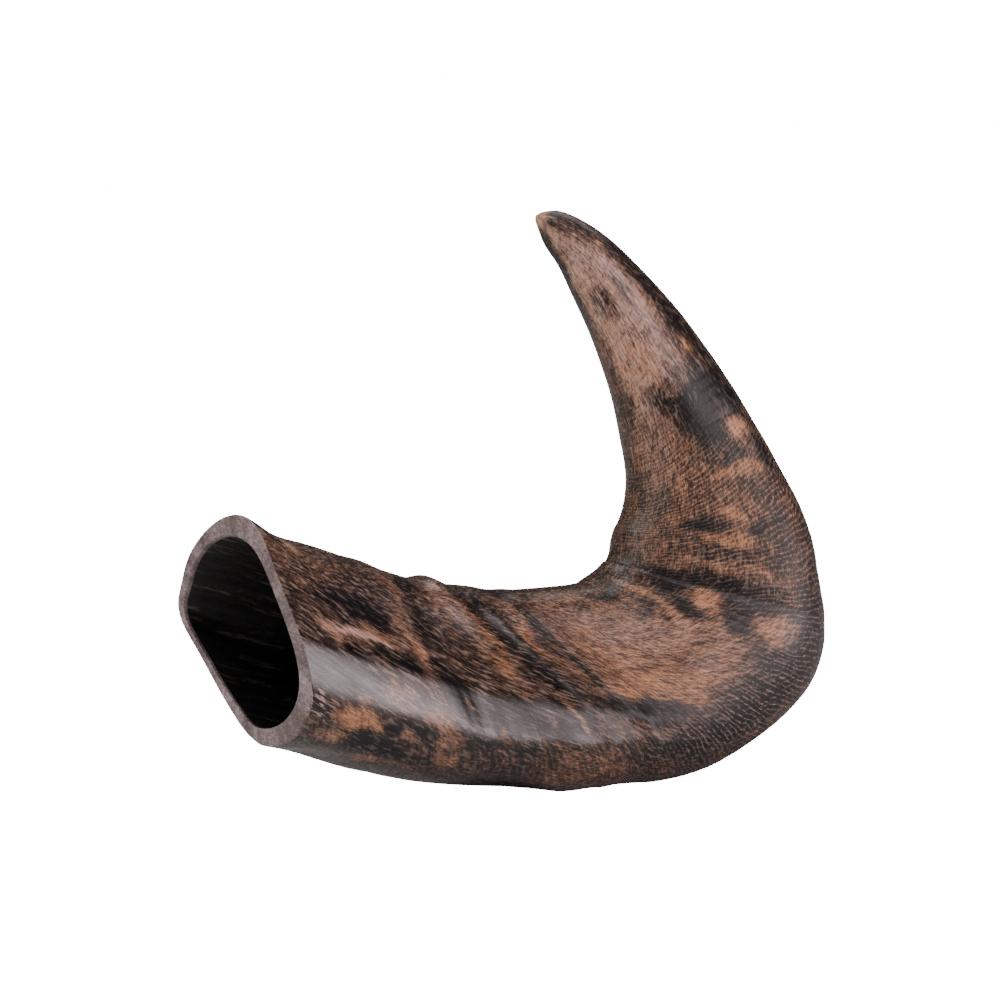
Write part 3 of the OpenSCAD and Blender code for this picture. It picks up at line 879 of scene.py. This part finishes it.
def sawn_material(name):
    """The cut face of the rim: layered keratin with saw marks."""
    material, tree = new_material(name)
    grain = attribute(tree, "grain").outputs["Vector"]
    position = new_node(tree, "ShaderNodeTexCoord").outputs["Object"]
    layer = noise(tree, position, (900.0, 900.0, 900.0), detail=4.0, roughness=0.65)
    saw = noise(tree, position, (300.0, 300.0, 2600.0), detail=2.0, roughness=0.6, offset=3.0)
    zone = noise(tree, grain, (0.10, 0.10, 0.10), detail=4.0, roughness=0.6)
    total = math_node(tree, "MULTIPLY_ADD", layer, 0.9, zone)
    total = math_node(tree, "MULTIPLY_ADD", saw, 0.4, total)
    colour = ramp(tree, span(tree, total, 0.80, 1.50), SAWN_TONES)
    height = math_node(tree, "MULTIPLY_ADD", layer, 0.4, saw)
    finished(colour, span(tree, layer, 0.3, 0.7, 0.42, 0.58), height, 0.5, 0.12 * MM, 1.5)
    return material


# ---------------------------------------------------------------- pieces

# Node of the frame, its lower and its upper edge, slot, roughness, and strength of the gloss
PIECES = (
    ("mouth_cone", "mouth", "ridge", "dark_horn", 0.25, 0.50),
    ("ridge_cone", "ridge", "groove", "banded_horn", 0.25, 0.50),
    ("groove_cone", "groove", "bend", "banded_horn", 0.26, 0.50),
    ("bend_cone", "bend", "arm", "brown_horn", 0.28, 0.44),
    ("arm_cone", "arm", "tip", "brown_horn", 0.31, 0.34),
    ("tip_cone", "tip", "end", "pale_horn", 0.31, 0.42),
)


def make_piece(node, lower, upper, slot, rough, shine):
    skin = Skin()
    materials = [horn_material("polished_" + lower, rough, shine)]
    if lower == "mouth":
        materials += [inside_material("horn_lining"), sawn_material("sawn_rim")]
        first = middle_at(CAVITY_END)
        add_mouth(skin)
    else:
        first = middle_at(APEXES[lower])
        add_hidden(skin, lower, inwards=False)
    add_band(skin, lower, upper)
    if upper == "end":
        last = middle_at(LAST)
    else:
        add_hidden(skin, upper, inwards=True)
        last = middle_at(APEXES[upper])
    piece = build("horn_" + lower, skin, first, last, materials)
    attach(piece, BODY)
    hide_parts(node)
    return piece


for row in PIECES:
    make_piece(*row)


# ---------------------------------------------------------------- floor, light and camera

# What the camera and the lamps look at, the camera's distance and height in degrees, and
# the width of its field at that distance
TARGET = np.array([-0.040, -0.018, 0.098])
VIEW_DISTANCE = 0.8
VIEW_HEIGHT = 10.0
FIELD = 0.330
FLOOR_SIZE = 20.0
FLOOR_GREY = (0.60, 0.60, 0.60, 1.0)
# Brightness of the floor and the world to the camera's own rays, and of the world as a light
FLOOR_GLOW = 16.0
WORLD_SEEN = 16.0
WORLD_LIGHT = 0.05
WHITE = (1.0, 1.0, 1.0)
ROSE = (1.0, 0.85, 0.88)
# Softboxes: name, azimuth, elevation, distance, width, height, power, colour
LAMPS = (
    ("right", 80, 5, 0.90, 0.62, 0.50, 3.5, ROSE),
    ("core", 80, 5, 0.88, 0.24, 0.14, 0.8, ROSE),
    ("side", 53, 10, 0.90, 0.24, 0.30, 0.8, ROSE),
    ("front", 42, 30, 1.00, 0.36, 0.34, 1.7, ROSE),
    ("left", -50, 14, 1.00, 1.10, 0.70, 4.0, WHITE),
    ("inner", -98, 46, 1.00, 0.60, 0.50, 4.6, WHITE),
    ("top", 0, 74, 1.00, 0.50, 0.40, 2.4, WHITE),
    ("back", 150, 62, 1.00, 0.60, 0.60, 3.0, WHITE),
)


def direction(azimuth, elevation):
    """Unit vector from the horn: azimuth 0 is the camera's side and 90 its right-hand side."""
    a, e = math.radians(azimuth), math.radians(elevation)
    return np.array([math.sin(a) * math.cos(e), -math.cos(a) * math.cos(e), math.sin(e)])


def aim(thing, place_at, towards):
    """Stands a lamp or the camera at a place and turns it towards a point."""
    thing.location = place_at
    thing.rotation_euler = Vector(towards - place_at).to_track_quat("-Z", "Y").to_euler()
    bpy.context.scene.collection.objects.link(thing)


def softbox(name, azimuth, elevation, distance, width, height, power, colour):
    lamp = bpy.data.lights.new(name, "AREA")
    lamp.shape = "RECTANGLE"
    lamp.size, lamp.size_y = width, height
    lamp.energy = power
    lamp.color = colour
    place_at = TARGET + distance * direction(azimuth, elevation)
    aim(bpy.data.objects.new(name, lamp), place_at, TARGET)


def add_camera():
    camera = bpy.data.cameras.new("camera")
    camera.sensor_width = 36.0
    camera.lens = camera.sensor_width * VIEW_DISTANCE / FIELD
    camera.clip_start = 0.01
    thing = bpy.data.objects.new("camera", camera)
    aim(thing, TARGET + VIEW_DISTANCE * direction(0, VIEW_HEIGHT), TARGET)
    bpy.context.scene.camera = thing


def camera_only(tree, strength, base=0.0):
    """A strength that only the direct view of a surface gets, on top of what everything sees."""
    path = new_node(tree, "ShaderNodeLightPath")
    return math_node(tree, "MULTIPLY_ADD", path.outputs["Is Camera Ray"], strength, base)


def add_floor():
    """A wide pale disc that the horn stands on."""
    corners = 64
    points = [(FLOOR_SIZE * math.cos(a), FLOOR_SIZE * math.sin(a), 0.0)
              for a in np.linspace(0, 2 * math.pi, corners, False)]
    mesh = bpy.data.meshes.new("floor")
    mesh.from_pydata(points, [], [tuple(range(corners))])
    material, tree = new_material("pale_floor")
    shader = new_node(tree, "ShaderNodeBsdfPrincipled", {
        "Base Color": FLOOR_GREY, "Roughness": 0.9, "Specular IOR Level": 0.0,
        "Emission Color": (1, 1, 1, 1), "Emission Strength": camera_only(tree, FLOOR_GLOW)})
    out = new_node(tree, "ShaderNodeOutputMaterial")
    tree.links.new(shader.outputs[0], out.inputs[0])
    mesh.materials.append(material)
    floor = bpy.data.objects.new("floor", mesh)
    bpy.context.scene.collection.objects.link(floor)


def add_world():
    """White to look at, and dim as a light, so that the softboxes shape the horn."""
    world = bpy.data.worlds.new("studio")
    world.use_nodes = True
    tree = world.node_tree
    tree.nodes.clear()
    ground = new_node(tree, "ShaderNodeBackground", {
        "Color": (1, 1, 1, 1), "Strength": camera_only(tree, WORLD_SEEN, WORLD_LIGHT)})
    out = new_node(tree, "ShaderNodeOutputWorld")
    tree.links.new(ground.outputs[0], out.inputs[0])
    bpy.context.scene.world = world


add_camera()
add_floor()
add_world()
for row in LAMPS:
    softbox(*row)
